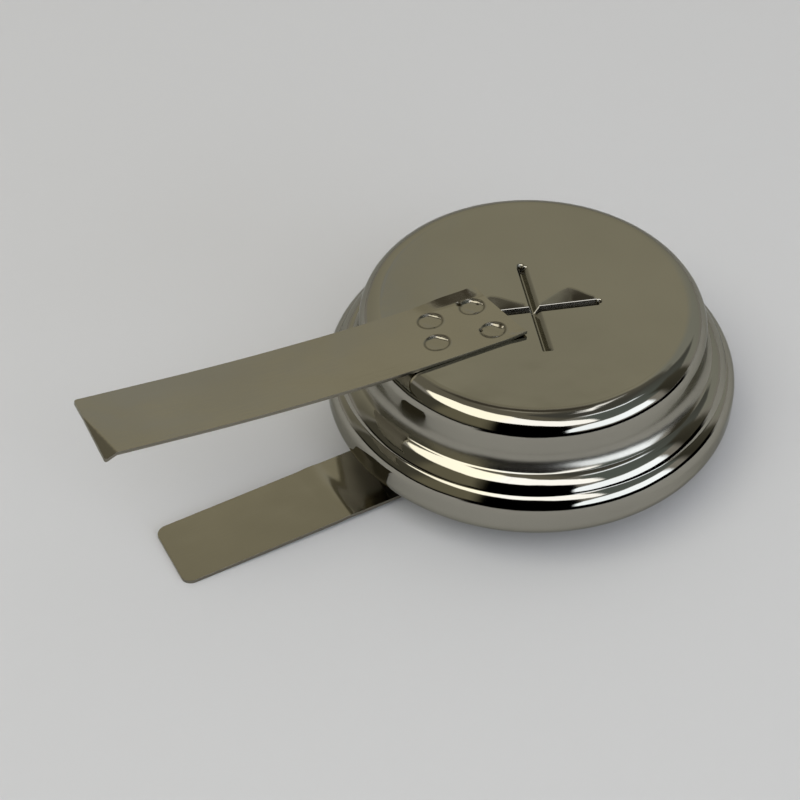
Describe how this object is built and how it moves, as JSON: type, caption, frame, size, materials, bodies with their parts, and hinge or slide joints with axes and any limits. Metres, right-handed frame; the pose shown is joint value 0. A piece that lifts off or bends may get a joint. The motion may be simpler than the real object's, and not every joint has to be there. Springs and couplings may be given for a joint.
{
  "type": "tabbed nimh button cell",
  "caption": "Round rechargeable button cell with a stepped, crimped nickel-plated can, a pressed plus mark on its base and welded solder strips that run out to one side.",
  "frame": {"origin": "on the cell's axis, at the lid's outer face (the negative contact face)", "axes": "+Z along the cell's axis towards the cup's base with the plus mark; both strips run out along -X"},
  "size_m": [0.0252, 0.0154, 0.008],
  "materials": {
    "plated_can": "bright nickel plate, mirror smooth",
    "plated_lid": "bright nickel plate",
    "strip_nickel": "rolled nickel strip, satin bright",
    "seal_plastic": "moulded nylon",
    "spring_nickel": "rolled sheet",
    "gauze_nickel": "woven wire",
    "negative_mass": "pressed powder",
    "positive_mass": "pressed powder",
    "separator_felt": "nonwoven"
  },
  "bodies": {
    "root": {"cup": "plated_can", "lid": "plated_lid", "sealing_ring": "seal_plastic", "contact_spring": "spring_nickel", "negative_electrode": "negative_mass", "negative_gauze": "gauze_nickel", "separator": "separator_felt", "positive_electrode": "positive_mass", "positive_gauze": "gauze_nickel", "positive_tab": "strip_nickel", "negative_tab": "strip_nickel"}
  },
  "joints": []
}
